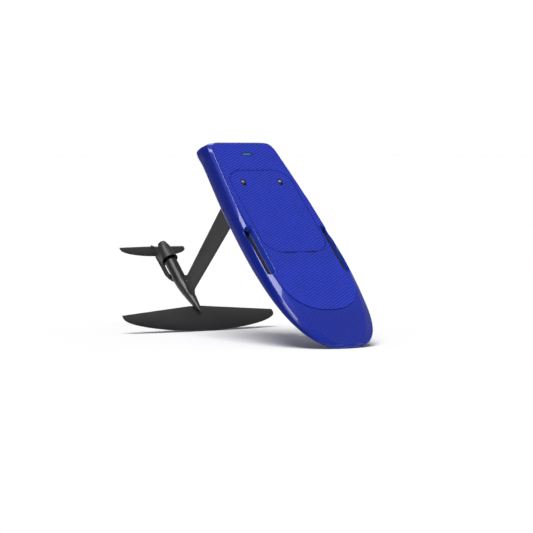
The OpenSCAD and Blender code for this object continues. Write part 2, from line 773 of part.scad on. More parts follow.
saddle_bolt_x = [foot_front - 80, foot_front - 28];
saddle_bolt_z = (foot_z + saddle_z) / 2;
module cross_bolts(r, half) {
    for (x = saddle_bolt_x)
        translate([x, -half, saddle_bolt_z]) rotate([-90, 0, 0]) cylinder(r = r, h = 2 * half);
}
module mast() place() color([0.13, 0.13, 0.14]) difference() {
    mast_body();
    tube_z(cable_x, 0, foot_z - 1, plate_z + 1, channel / 2);
    for (x = head_screw_x) tube_z(x, 0, plate_z - 40, plate_z + 1, 3);
    cross_bolts(3, 40);
}
module mast_head_screws() place() color("silver")
    for (x = head_screw_x) sunk_bolt(x, 0, bottom_z, plate_z - 38, 3);

cable_low = axis_z + 22;
module phase_cable() place() color([0.05, 0.05, 0.05]) {
    r = cable_diameter / 2;
    tube_z(cable_x, 0, cable_low, bottom_z + 16, r);
    translate([cable_x, 0, cable_low]) sphere(r);
    translate([stator_front, 0, cable_low]) rotate([0, 90, 0])
        cylinder(r = r, h = cable_x - stator_front);
    translate([cable_x, 0, bottom_z + 16]) sphere(r);
    translate([cable_x, 0, bottom_z + 16]) rotate([0, 90, 0]) cylinder(r = r, h = 60);
    translate([cable_x + 60, 0, bottom_z + 16]) sphere(r);
    tube_z(cable_x + 60, 0, bottom_z + 16, floor_z + 22, r);
}

module saddle_body() {
    loft([
        mast_ring(axis_z + 22, foot_front + 50, foot_chord + 90, 0.22),
        mast_ring(axis_z + 32, foot_front + 40, foot_chord + 72, 0.22),
        mast_ring(foot_z + 8, foot_front + 16, foot_chord + 34, 0.19),
        mast_ring(saddle_z - 6, foot_front + 5, foot_chord + 12, 0.175),
        mast_ring(saddle_z, foot_front + 3, foot_chord + 6, (foot_thickness + 6) / (foot_chord + 6))
    ]);
}
module mast_saddle() place() color([0.11, 0.11, 0.12]) difference() {
    saddle_body();
    mast_body(0.1);
    nose_body();
    rod(housing_rear, housing_front, pod_radius);
    tube_z(cable_x, 0, axis_z, foot_z + 1, channel / 2);
    cross_bolts(3, 40);
}
module saddle_bolts() place() color("silver") cross_bolts(3, foot_thickness / 2 + 1);

// ---- Motor pod ----
wing_bolt_x = [wing_front - wing_chord + 22, wing_front - wing_chord + 52];
wing_bolt_top = 20;
module fuselage_nose() place() color([0.11, 0.11, 0.12]) difference() {
    nose_body();
    wing_bar();
    translate([wing_front - wing_chord - 2, -60, wing_z - 100]) cube([200, 120, 100]);
    tube_z(cable_x, 0, cable_low, axis_z + 60, channel / 2);
    translate([cable_x, 0, cable_low]) sphere(channel / 2);
    translate([housing_front - 1, 0, cable_low]) rotate([0, 90, 0])
        cylinder(r = channel / 2, h = cable_x - housing_front + 1);
    for (x = wing_bolt_x) tube_z(x, 0, wing_z - 20, wing_z + wing_bolt_top, 3);
}

module motor_housing() place() color([0.12, 0.12, 0.13]) difference() {
    ring(housing_rear, housing_front, pod_radius, bore_radius);
    for (x = fin_screw_x) tube_z(x, 0, axis_z - pod_radius - 1, axis_z, 2.5);
}
cover = 10;
module front_cover() place() color([0.6, 0.6, 0.62]) difference() {
    union() {
        rod(housing_front - cover, housing_front, bore_radius);
        rod(housing_front - cover - bearing_width - 2, housing_front - cover, bearing_radius + 4);
    }
    rod(housing_front - cover - bearing_width - 3, housing_front - cover, bearing_radius);
    rod(housing_front - cover - 1, housing_front - cover + 3, shaft_radius + 1);
    translate([housing_front - cover - 1, 0, cable_low]) rotate([0, 90, 0])
        cylinder(r = channel / 2, h = cover + 2);
}
module rear_cover() place() color([0.12, 0.12, 0.13]) difference() {
    union() {
        cone(cone_rear, housing_rear, 16, pod_radius);
        rod(housing_rear, housing_rear + cover, bore_radius);
        rod(housing_rear + cover, housing_rear + cover + bearing_width + 2, bearing_radius + 4);
    }
    rod(housing_rear + cover, housing_rear + cover + bearing_width + 3, bearing_radius);
    rod(cone_rear - 1, housing_rear + cover + 1, shaft_radius + 1);
    rod(cone_rear - 1, cone_rear + 7, 11);
}
stator_rear = housing_rear + 38;
stator_front = housing_front - 38;
module motor_stator() place() color([0.62, 0.36, 0.16])
    ring(stator_rear, stator_front, bore_radius, 17.6);
module motor_rotor() place() color([0.45, 0.45, 0.47])
    ring(stator_rear + 2, stator_front - 2, 17, shaft_radius);
module drive_shaft() place() color("silver")
    rod(impeller_rear - 8, housing_front - cover - 1, shaft_radius);
module bearings() place() color("silver") {
    ring(housing_rear + cover + 1, housing_rear + cover + 1 + bearing_width, bearing_radius,
        shaft_radius + shaft_fit);
    ring(housing_front - cover - 1 - bearing_width, housing_front - cover - 1, bearing_radius,
        shaft_radius + shaft_fit);
}
module shaft_seal() place() color([0.08, 0.08, 0.08])
    ring(cone_rear, cone_rear + 7, 11, shaft_radius + shaft_fit);

blade_pitch = 38;
module impeller() place() color([0.16, 0.16, 0.17]) difference() {
    union() {
        rod(impeller_rear, impeller_front, hub_radius);
        intersection() {
            rod(impeller_rear, impeller_front, blade_radius);
            translate([(impeller_rear + impeller_front) / 2, 0, axis_z])
                for (i = [0:blades - 1])
                    rotate([360 * i / blades, 0, 0]) rotate([0, 0, blade_pitch])
                        translate([-40, -1.25, hub_radius - 2]) cube([80, 2.5, duct_mouth]);
        }
    }
    rod(impeller_rear - 1, impeller_front + 1, shaft_radius);
}
module spinner() place() color([0.16, 0.16, 0.17]) difference() {
    union() {
        rod(impeller_rear - 6, impeller_rear, 9);
        cone(impeller_rear - 9, impeller_rear - 6, 7, 9);
    }
    rod(impeller_rear - 8, impeller_rear + 1, shaft_radius);
}

module duct_inside() cone(duct_rear, duct_front, duct_inner(duct_rear), duct_inner(duct_front));
struts = 4;
strut = 3;
module intake_struts() place() color([0.12, 0.12, 0.13]) difference() {
    intersection() {
        duct_inside();
        for (i = [0:struts - 1])
            translate([0, 0, axis_z]) rotate([45 + 360 * i / struts, 0, 0])
                translate([duct_front - 10, -strut / 2, 10]) cube([10, strut, duct_mouth]);
    }
    cone(cone_rear, housing_rear, 16, pod_radius);
}
module duct_shroud() place() color([0.12, 0.12, 0.13]) difference() {
    cone(duct_rear, duct_front, duct_end, duct_mouth);
    duct_inside();
}
vanes = 5;
vane_length = 14;
module guide_vanes() place() color([0.12, 0.12, 0.13]) union() {
    rod(duct_rear, duct_rear + vane_length, vane_hub);
    cone(duct_rear - 20, duct_rear, 3, vane_hub);
    intersection() {
        duct_inside();
        for (i = [0:vanes - 1])
            translate([0, 0, axis_z]) rotate([360 * i / vanes, 0, 0])
                translate([duct_rear, -1.25, vane_hub - 2]) cube([vane_length, 2.5, duct_mouth]);
    }
}
module nozzle() place() color([0.12, 0.12, 0.13]) difference() {
    cone(nozzle_rear, duct_rear, nozzle_exit, duct_end);
    cone(nozzle_rear, duct_rear, nozzle_exit - duct_wall, duct_end - duct_wall);
}

// ---- Foils ----
module front_wing() place() color([0.09, 0.09, 0.10]) difference() {
    loft([for (i = [wing_steps:-1:0]) wing_station(-wing_at(i)), for (i = [0:wing_steps]) wing_station(wing_at(i))]);
    for (x = wing_bolt_x) tube_z(x, 0, wing_z - 40, wing_z + 40, 3);
}
module wing_bolts() place() color("silver")
    for (x = wing_bolt_x) tube_z(x, 0, wing_z - 3, wing_z + wing_bolt_top, 3);

// The tail fin hangs from the motor housing, runs back below the duct and carries the stabiliser
fin_screw_x = [72, 96];
fin_top = axis_z - duct_mouth - 19.5;
module tail_fin() place() color([0.10, 0.10, 0.11]) difference() {
    translate([0, fin_thickness / 2, 0]) rotate([90, 0, 0]) linear_extrude(fin_thickness) polygon([
        [116, axis_z - pod_radius + 6],
        [94, axis_z - 45],
        [39, axis_z - 79],
        [-7, stab_z - 1],
        [-81, stab_z - 3],
        [tail_front + 0.5, stab_z - 7],
        [tail_front + 0.5, stab_z],
        fin_tip,
        [tail_front - 24, axis_z - 51],
        [-104, fin_top - 2],
        [48, fin_top],
        [56, axis_z - pod_radius + 6]
    ]);
    rod(housing_rear, housing_front, pod_radius);
    stab_bar();
    for (x = fin_screw_x) tube_z(x, 0, axis_z - 80, axis_z, 2.5);
    for (x = stab_bolt_x) tube_z(x, 0, stab_z - 20, stab_z + 12, 2);
}
module fin_screws() place() color("silver")
    for (x = fin_screw_x) tube_z(x, 0, axis_z - 52, axis_z - bore_radius, 2.5);

stab_bolt_x = [tail_front - 24, tail_front - 50];
module stabiliser() place() color([0.09, 0.09, 0.10]) difference() {
    loft([for (i = [stab_steps:-1:1]) stab_station(-stab_at(i)), for (i = [0:stab_steps]) stab_station(stab_at(i))]);
    for (x = stab_bolt_x) tube_z(x, 0, stab_z - 20, stab_z + 20, 2);
}
module stabiliser_bolts() place() color("silver")
    for (x = stab_bolt_x) tube_z(x, 0, stab_z - 6, stab_z + 12, 2);

// ---- Drawing ----
hull_shell();
deck_shell();
foam_core();
deck_pad();
lid_pad();
battery_lid();
lid_seal();
hinge_deck_leaves();
hinge_lid_leaves();
hinge_pins();
latch_cups();
latch_lever_left();
latch_lever_right();
latch_pins();
hold_down_bar();
handle_cup_left();
handle_cup_right();
light_housing();
light_lens();
bay_tub();
battery_pack();
speed_controller();
power_lead();
cable_gland();
mast_block();
threaded_inserts();
mast_plate();
mast_bolts();
mast();
mast_head_screws();
phase_cable();
mast_saddle();
saddle_bolts();
fuselage_nose();
motor_housing();
front_cover();
rear_cover();
motor_stator();
motor_rotor();
drive_shaft();
bearings();
shaft_seal();
impeller();
spinner();
intake_struts();
duct_shroud();
guide_vanes();
nozzle();
front_wing();
wing_bolts();
tail_fin();
fin_screws();
stabiliser();
stabiliser_bolts();
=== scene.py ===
import json
import math

import bmesh
import bpy
from mathutils import Matrix, Vector


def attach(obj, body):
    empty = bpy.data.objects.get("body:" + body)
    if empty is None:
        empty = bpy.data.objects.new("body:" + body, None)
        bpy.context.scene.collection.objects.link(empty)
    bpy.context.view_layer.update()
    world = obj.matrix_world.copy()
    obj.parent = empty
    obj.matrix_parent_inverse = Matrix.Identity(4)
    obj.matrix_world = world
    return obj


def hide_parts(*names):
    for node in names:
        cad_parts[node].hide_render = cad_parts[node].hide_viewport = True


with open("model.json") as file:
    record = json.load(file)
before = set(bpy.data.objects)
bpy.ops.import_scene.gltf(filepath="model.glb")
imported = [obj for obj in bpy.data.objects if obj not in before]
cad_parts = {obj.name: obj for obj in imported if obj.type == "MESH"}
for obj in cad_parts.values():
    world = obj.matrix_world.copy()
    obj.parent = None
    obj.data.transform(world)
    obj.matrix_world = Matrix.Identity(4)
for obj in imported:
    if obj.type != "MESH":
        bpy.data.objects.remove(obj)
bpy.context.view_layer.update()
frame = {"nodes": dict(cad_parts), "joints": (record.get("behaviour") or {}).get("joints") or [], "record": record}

MM = 0.001

# ---- The board's own frame: X from the tail to the nose, Y to port, Z up, the deck at Z = 0 ----
record = frame["record"]
joints = {j["name"]: j for j in frame["joints"]}
deck_normal = next(m for m in record["mounts"] if m["name"] == "deck_rest")["axis"]
LEAN = Matrix.Rotation(math.atan2(deck_normal[0], deck_normal[2]), 4, "Y")


def box_in(node, turn):
    """Lowest and highest corner of a CAD node, seen in a turned frame."""
    points = [turn @ v.co for v in frame["nodes"][node].data.vertices]
    low = Vector([min(p[i] for p in points) for i in range(3)])
    high = Vector([max(p[i] for p in points) for i in range(3)])
    return low, high


UPRIGHT = LEAN.inverted()
PAD_INSET = 18 * MM
pad_rear_corner = box_in("deck_pad", UPRIGHT)[0]
ORIGIN = Vector((pad_rear_corner.x - PAD_INSET, 0, pad_rear_corner.z))
PLACE = LEAN @ Matrix.Translation(ORIGIN)
BOARD = PLACE.inverted()


def board_box(node):
    return box_in(node, BOARD)


def clamp(v):
    return min(max(v, 0.0), 1.0)


def smooth(v):
    c = clamp(v)
    return c * c * (3 - 2 * c)


def spread(low, high, steps):
    """Values from low to high, closer together at both ends."""
    return [low + (high - low) * (1 - math.cos(math.pi * i / steps)) / 2 for i in range(steps + 1)]


# ---- Sizes taken from the frame ----
hull_low, hull_high = board_box("hull_shell")
LENGTH = board_box("deck_shell")[1].x
HALF_WIDTH = hull_high.y
THICKNESS = -hull_low.z
PAD_HEIGHT = board_box("deck_pad")[1].z
PAD_REAR = board_box("deck_pad")[0].x
PAD_FRONT = board_box("deck_pad")[1].x
LID_LOW, LID_HIGH = board_box("battery_lid")
HINGE = BOARD @ Vector(joints["lid_hinge"]["pos_m"])
AXIS_Z = (BOARD @ Vector(joints["impeller_spin"]["pos_m"])).z
POD_HIGH = board_box("motor_housing")[1]
POD_RADIUS = POD_HIGH.y

# ---- Shape of the board ----
SKIN = 3 * MM
WIDEST = 850 * MM
NOSE_THICKNESS = 24 * MM
NOSE_RADIUS = NOSE_THICKNESS / 2
DECK_END = LENGTH - NOSE_RADIUS
TAIL_NARROWING = 65 * MM
TRANSOM_HALF = 140 * MM
TAIL_CORNER = 85 * MM
TAIL_FLARE = 40 * MM
TAIL_RAKE = 45 * MM
RAKE_FROM = 200 * MM
RAIL = 18 * MM
RAIL_MID = 30 * MM
DECK_MID = HALF_WIDTH - RAIL_MID
RAIL_DROP = 13 * MM
CHINE = 26 * MM
NARROWING_POWER = 1.35
CORNER_POWER = 2.2
RAKE_POWER = 2
FLARE_POWER = 1.5
NOSE_FULLNESS = 3
NOSE_BLUNTNESS = 0.4
NOSE_LIMIT = 0.9995
DECK_FULLNESS = 1.5
DECK_BLUNTNESS = 0.36
DECK_LIMIT = 0.998
RAIL_WIDENS_FROM = 0.45
RAIL_WIDENS_OVER = 0.4
THINS_FROM = 0.35
THINNING_POWER = 1.5
NOSE_ROUNDING = 0.75
TAIL_ROUNDING = 12 * MM
CORNER_ROOM = 0.48
# Corners of the section: radii, and shares of the rail's width and of the board's height there
DECK_EDGE_RADIUS = 4 * MM
RAIL_RADIUS = 7 * MM
SIDE_RADIUS = 40 * MM
RAIL_OUT = 0.62
RAIL_DROP_LIMIT = 0.42
SIDE_AT = 0.52
CHINE_LIMIT = 0.38


def tail_width(x):
    width = HALF_WIDTH - TAIL_NARROWING * clamp((WIDEST - x) / WIDEST) ** NARROWING_POWER
    turn = (1 - clamp((TAIL_CORNER - x) / TAIL_CORNER) ** CORNER_POWER) ** (1 / CORNER_POWER)
    return TRANSOM_HALF + (width - TRANSOM_HALF) * turn


def rake(x, z):
    """How far a point of the tail lies behind the deck edge."""
    return TAIL_RAKE * clamp(1 - x / RAKE_FROM) ** RAKE_POWER * -z / THICKNESS


def half_width(x):
    if x > WIDEST:
        share = min(clamp((x - WIDEST) / (LENGTH - WIDEST)), NOSE_LIMIT)
        return HALF_WIDTH * (1 - share**NOSE_FULLNESS) ** NOSE_BLUNTNESS
    return tail_width(x) + TAIL_FLARE * clamp((TAIL_CORNER - x) / TAIL_CORNER) ** FLARE_POWER


def deck_half(x):
    if x > WIDEST:
        share = min(clamp((x - WIDEST) / (DECK_END - WIDEST)), DECK_LIMIT)
        return DECK_MID * (1 - share**DECK_FULLNESS) ** DECK_BLUNTNESS
    widening = smooth((x - RAIL_WIDENS_FROM) / RAIL_WIDENS_OVER)
    return tail_width(x) - RAIL - (RAIL_MID - RAIL) * widening


def depth(x):
    share = clamp((x - THINS_FROM) / (LENGTH - THINS_FROM))
    return THICKNESS - (THICKNESS - NOSE_THICKNESS) * share**THINNING_POWER


def close_in(x):
    """How far the nose and the tail round off towards the ends, as (top, bottom)."""
    share = clamp((x - DECK_END) / NOSE_RADIUS)
    nose = NOSE_RADIUS * min(1 - math.sqrt(1 - share * share), NOSE_ROUNDING)
    return nose + max(0.0, TAIL_ROUNDING - x), nose


def filleted(corners, steps=6):
    """Open outline through (point, radius) corners, with an arc at each inner one."""
    points = [corners[0][0]]
    for i in range(1, len(corners) - 1):
        before, at, after = (Vector(corners[k][0]) for k in (i - 1, i, i + 1))
        into, out = (at - before), (after - at)
        turn = into.angle(out, 0.0)
        room = CORNER_ROOM * min(into.length, out.length)
        reach = min(corners[i][1] * math.tan(turn / 2), room)
        start, end = at - into.normalized() * reach, at + out.normalized() * reach
        for k in range(steps + 1):
            t = k / steps
            points.append(tuple((1 - t) ** 2 * start + 2 * t * (1 - t) * at + t * t * end))
    points.append(corners[-1][0])
    return points


def half_section(x):
    """Port half of the board's section, from the middle of the deck to the middle of the bottom."""
    top_in, low_in = close_in(x)
    top, low = -top_in, -depth(x) + low_in
    tall = top - low
    wide = half_width(x)
    flat = min(deck_half(x), wide - DECK_EDGE_RADIUS)
    drop = min(RAIL_DROP, RAIL_DROP_LIMIT * tall)
    return filleted([
        ((0.0, top), 0),
        ((flat, top), DECK_EDGE_RADIUS),
        ((flat + RAIL_OUT * (wide - flat), top - drop), RAIL_RADIUS),
        ((wide, top - SIDE_AT * tall), SIDE_RADIUS),
        ((wide, low), min(CHINE, CHINE_LIMIT * tall)),
        ((0.0, low), 0),
    ])


def deck_height(x, y):
    """Height of the board's upper surface."""
    outline = half_section(x)
    for (y0, z0), (y1, z1) in zip(outline, outline[1:]):
        if y0 <= abs(y) <= y1:
            return z0 + (z1 - z0) * (abs(y) - y0) / max(y1 - y0, 1e-9)
    return outline[len(outline) // 2][1]


# ---- Mesh tools ----
def mesh_object(name, vertices, faces):
    data = bpy.data.meshes.new(name)
    data.from_pydata([tuple(v) for v in vertices], [], faces)
    made = bpy.data.objects.new(name, data)
    bpy.context.scene.collection.objects.link(made)
    made.matrix_world = PLACE
    tidy(made)
    return made


def tidy(made):
    """Merges doubled points and turns every face outwards."""
    bm = bmesh.new()
    bm.from_mesh(made.data)
    bmesh.ops.remove_doubles(bm, verts=bm.verts, dist=1e-6)
    bmesh.ops.dissolve_degenerate(bm, dist=1e-7, edges=bm.edges)
    bmesh.ops.recalc_face_normals(bm, faces=bm.faces)
    bm.to_mesh(made.data)
    bm.free()


def loft(rings, caps=True):
    """Vertices and faces of a skin over closed rings with equal numbers of points."""
    n = len(rings[0])
    faces = [
        (i * n + j, i * n + (j + 1) % n, (i + 1) * n + (j + 1) % n, (i + 1) * n + j)
        for i in range(len(rings) - 1)
        for j in range(n)
    ]
    if caps:
        faces.append(tuple(reversed(range(n))))
        faces.append(tuple((len(rings) - 1) * n + j for j in range(n)))
    return [p for ring in rings for p in ring], faces


def prism(name, outline, z0, z1):
    rings = [[(x, y, z) for x, y in outline] for z in (z0, z1)]
    return mesh_object(name, *loft(rings))


def rounded(x0, x1, half, radius, steps=12):
    """Rectangle with round corners, as points."""
    points = []
    for cx, cy, start in (
        (x1 - radius, half - radius, 0), (x0 + radius, half - radius, 90),
        (x0 + radius, radius - half, 180), (x1 - radius, radius - half, 270),
    ):
        for k in range(steps + 1):
            a = math.radians(start + 90 * k / steps)
            points.append((cx + radius * math.cos(a), cy + radius * math.sin(a)))
    return points


def shifted(outline, x, y):
    return [(px + x, py + y) for px, py in outline]


def apply_modifiers(made):
    dg = bpy.context.evaluated_depsgraph_get()
    data = bpy.data.meshes.new_from_object(made.evaluated_get(dg))
    made.modifiers.clear()
    made.data = data
    return made


def combine(made, others, operation="DIFFERENCE"):
    """Exact boolean with each of the other objects, which are used up."""
    for other in others:
        m = made.modifiers.new("cut", "BOOLEAN")
        m.operation = operation
        m.solver = "EXACT"
        m.object = other
        apply_modifiers(made)
        bpy.data.objects.remove(other)


def bevel(made, width, segments=3, angle=35):
    m = made.modifiers.new("edges", "BEVEL")
    m.width = width
    m.segments = segments
    m.limit_method = "ANGLE"
    m.angle_limit = math.radians(angle)
    m.harden_normals = False


def dress(made, material, slot, body, *nodes, angle=32):
    """Gives a piece its material and body, and hides the CAD nodes it stands for; the slot argument is not used.
    """
    made.data.transform(PLACE)
    made.matrix_world = Matrix.Identity(4)
    made.data.materials.clear()
    made.data.materials.append(material)
    made.data.shade_smooth()
    made.data.set_sharp_from_angle(angle=math.radians(angle))
    if nodes:
        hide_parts(*nodes)
    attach(made, body)


# ---- Materials ----
def new_material(name):
    made = bpy.data.materials.new(name)
    made.use_nodes = True
    tree = made.node_tree
    return made, tree.nodes, tree.links.new, tree.nodes["Principled BSDF"]


def noise(nodes, link, vector, scale, detail=3.0, rough=0.5):
    n = nodes.new("ShaderNodeTexNoise")
    n.inputs["Scale"].default_value = scale
    n.inputs["Detail"].default_value = detail
    n.inputs["Roughness"].default_value = rough
    link(vector, n.inputs["Vector"])
    return n.outputs["Fac"]


def ranged(nodes, link, value, low, high, start=0.3, end=0.7):
    n = nodes.new("ShaderNodeMapRange")
    n.inputs["From Min"].default_value = start
    n.inputs["From Max"].default_value = end
    n.inputs["To Min"].default_value = low
    n.inputs["To Max"].default_value = high
    link(value, n.inputs["Value"])
    return n.outputs["Result"]


def mixed(nodes, link, factor, first, second):
    n = nodes.new("ShaderNodeMix")
    n.data_type = "RGBA"
    for socket, value in (("A", first), ("B", second)):
        into = next(s for s in n.inputs if s.name == socket and s.type == "RGBA")
        if isinstance(value, bpy.types.NodeSocket):
            link(value, into)
        else:
            into.default_value = (*value, 1)
    link(factor, n.inputs["Factor"])
    return next(s for s in n.outputs if s.type == "RGBA")


def bumped(nodes, link, height, shader, strength, distance):
    n = nodes.new("ShaderNodeBump")
    n.inputs["Strength"].default_value = strength
    n.inputs["Distance"].default_value = distance
    link(height, n.inputs["Height"])
    link(n.outputs["Normal"], shader.inputs["Normal"])


def coordinates(nodes, link, stretch=(1, 1, 1), turn=0.0):
    """Coordinates in the board's own frame in metres, stretched and turned about Z."""
    place = nodes.new("ShaderNodeTexCoord")
    level = nodes.new("ShaderNodeMapping")
    level.inputs["Rotation"].default_value = UPRIGHT.to_euler()
    level.inputs["Location"].default_value = -ORIGIN
    mapping = nodes.new("ShaderNodeMapping")
    mapping.inputs["Scale"].default_value = stretch
    mapping.inputs["Rotation"].default_value = (0, 0, turn)
    link(place.outputs["Object"], level.inputs["Vector"])
    link(level.outputs["Vector"], mapping.inputs["Vector"])
    return mapping.outputs["Vector"]


def part_of(nodes, link, vector, axis):
    """One of X, Y and Z out of a vector."""
    n = nodes.new("ShaderNodeSeparateXYZ")
    link(vector, n.inputs["Vector"])
    return n.outputs[axis]


def plain(name, colour, roughness, metallic=0.0, spread_of=0.12, coarse=14.0, fine=900.0,
          bump=0.15, grain=0.08 * MM, coat=0.0, specular=0.5, stretch=(1, 1, 1), painted_shade_from=None):
    """Colour that drifts a little, roughness with faint scuffs, and a fine grain in the surface; from a given X
    forward the colour is painted near-black as painted shade.
    """
    made, nodes, link, shader = new_material(name)
    at = coordinates(nodes, link, stretch)
    drift = noise(nodes, link, at, coarse)
    dark = tuple(c * (1 - spread_of) for c in colour)
    light = tuple(min(1.0, c * (1 + spread_of)) for c in colour)
    base = mixed(nodes, link, ranged(nodes, link, drift, 0, 1), dark, light)
    # Painted shade: from the given X forward the colour turns near-black, standing in for the shade where the
    # part's front drops into its cup.
    if painted_shade_from is not None:
        along = part_of(nodes, link, at, "X")
        front = ranged(nodes, link, along, 0, 1, painted_shade_from, painted_shade_from + 3 * MM)
        base = mixed(nodes, link, front, base, tuple(0.06 * c for c in colour))
    link(base, shader.inputs["Base Color"])
    scuffs = noise(nodes, link, at, coarse * 9, 5, 0.65)
    worn = ranged(nodes, link, scuffs, roughness * 0.82, min(1.0, roughness * 1.2))
    link(worn, shader.inputs["Roughness"])
    bumped(nodes, link, noise(nodes, link, at, fine, 2), shader, bump, grain)
    shader.inputs["Metallic"].default_value = metallic
    shader.inputs["Coat Weight"].default_value = coat
    shader.inputs["Coat Roughness"].default_value = 0.06
    shader.inputs["Specular IOR Level"].default_value = specular
    return made


def honeycomb(nodes, link, cell):
    """Faint hexagonal cells: three waves 60 degrees apart, added up."""
    total = None
    for k in range(3):
        at = coordinates(nodes, link, turn=math.radians(60 * k + 15))
        wave = nodes.new("ShaderNodeTexWave")
        wave.inputs["Scale"].default_value = math.pi / (10 * cell)
        link(at, wave.inputs["Vector"])
        if total is None:
            total = wave.outputs["Fac"]
        else:
            add = nodes.new("ShaderNodeMath")
            add.operation = "ADD"
            link(total, add.inputs[0])
            link(wave.outputs["Fac"], add.inputs[1])
            total = add.outputs[0]
    return ranged(nodes, link, total, 0, 1, 0.9, 2.4)


WEAVE_FROM = 1150 * MM
WEAVE_FULL = 1230 * MM
# Below the first height the side walls turn satin and are painted darker as painted shade, over the band given
# next; the last band is where a recess floor's painted shade fades in.
SATIN_AND_SHADE_BELOW = -14 * MM
SATIN_AND_SHADE_BAND = 8 * MM
SHADE_BAND = 3 * MM


def lacquer(name, colour, cell=0.0, painted_shade_below=None):
    """Paint with a clear coat above the rail, satin below it and painted darker there as painted shade, with a
    faint honeycomb on the nose; given a depth, a recess floor below it is painted near-black as painted shade
    instead.
    """
    made, nodes, link, shader = new_material(name)
    at = coordinates(nodes, link)
    drift = ranged(nodes, link, noise(nodes, link, at, 5.0), 0, 1)
    base = mixed(nodes, link, drift, tuple(0.93 * c for c in colour), tuple(1.06 * c for c in colour))
    if cell:
        weave = honeycomb(nodes, link, cell)
        forward = ranged(nodes, link, part_of(nodes, link, at, "X"), 0, 0.6, WEAVE_FROM, WEAVE_FULL)
        amount = nodes.new("ShaderNodeMath")
        amount.operation = "MULTIPLY"
        link(weave, amount.inputs[0])
        link(forward, amount.inputs[1])
        base = mixed(nodes, link, amount.outputs[0], base, tuple(0.55 * c for c in colour))
    height = part_of(nodes, link, at, "Z")
    # Painted shade: with a depth given, a recess floor below it is painted near-black.
    if painted_shade_below is not None:
        low = ranged(nodes, link, height, 1, 0, painted_shade_below - SHADE_BAND, painted_shade_below + SHADE_BAND)
        base = mixed(nodes, link, low, base, tuple(0.05 * c for c in colour))
    else:
        # Painted shade: below the rail the side walls are painted darker, and the same mask takes the clear coat
        # off there.
        low = ranged(nodes, link, height, 1, 0, SATIN_AND_SHADE_BELOW - SATIN_AND_SHADE_BAND, SATIN_AND_SHADE_BELOW)
        base = mixed(nodes, link, low, base, tuple(0.60 * c for c in colour))
    link(base, shader.inputs["Base Color"])
    scuffs = noise(nodes, link, at, 160, 6, 0.7)
    link(ranged(nodes, link, scuffs, 0.22, 0.30), shader.inputs["Roughness"])
    shader.inputs["Specular IOR Level"].default_value = 0.12
    link(ranged(nodes, link, low, 0.8, 0.05, 0, 0.9), shader.inputs["Coat Weight"])
    shader.inputs["Coat Roughness"].default_value = 0.06
    bumped(nodes, link, noise(nodes, link, at, 90, 2), shader, 0.03, 0.03 * MM)
    return made


# Groove depths between which the foam is painted darker as painted shade.
GROOVE_SHADE_DEEP = 2.2 * MM
GROOVE_SHADE_SHALLOW = 0.3 * MM


def foam_pad(name, colour):
    """Closed-cell foam: matt, with fine dark pores, and painted shade in the grooves."""
    made, nodes, link, shader = new_material(name)
    at = coordinates(nodes, link)
    drift = ranged(nodes, link, noise(nodes, link, at, 9.0), 0, 1)
    base = mixed(nodes, link, drift, tuple(0.93 * c for c in colour), tuple(1.07 * c for c in colour))
    pores = nodes.new("ShaderNodeTexVoronoi")
    pores.inputs["Scale"].default_value = 700
    link(at, pores.inputs["Vector"])
    speck = ranged(nodes, link, pores.outputs["Distance"], 0.25, 0, 0, 0.5)
    base = mixed(nodes, link, speck, base, tuple(0.5 * c for c in colour))
    height = part_of(nodes, link, at, "Z")
    # Painted shade: the foam is painted darker where a groove cuts deeper.
    low = ranged(nodes, link, height, 1, 0, PAD_HEIGHT - GROOVE_SHADE_DEEP, PAD_HEIGHT - GROOVE_SHADE_SHALLOW)
    link(mixed(nodes, link, low, base, tuple(0.50 * c for c in colour)), shader.inputs["Base Color"])
    link(ranged(nodes, link, noise(nodes, link, at, 60, 4), 0.52, 0.68), shader.inputs["Roughness"])
    shader.inputs["Specular IOR Level"].default_value = 0.22
    bumped(nodes, link, pores.outputs["Distance"], shader, 0.35, 0.12 * MM)
    return made


def glow(name, colour, strength):
    """Light lens: clear tinted plastic that is lit from inside, with fine ribs."""
    made, nodes, link, shader = new_material(name)
    at = coordinates(nodes, link)
    ribs = nodes.new("ShaderNodeTexWave")
    ribs.inputs["Scale"].default_value = 60
    ribs.bands_direction = "Y"
    link(at, ribs.inputs["Vector"])
    base = mixed(nodes, link, ribs.outputs["Fac"], tuple(0.8 * c for c in colour), colour)
    link(base, shader.inputs["Base Color"])
    link(ranged(nodes, link, noise(nodes, link, at, 300), 0.15, 0.3), shader.inputs["Roughness"])
    shader.inputs["Emission Color"].default_value = (*colour, 1)
    shader.inputs["Emission Strength"].default_value = strength
    bumped(nodes, link, ribs.outputs["Fac"], shader, 0.3, 0.2 * MM)
    return made


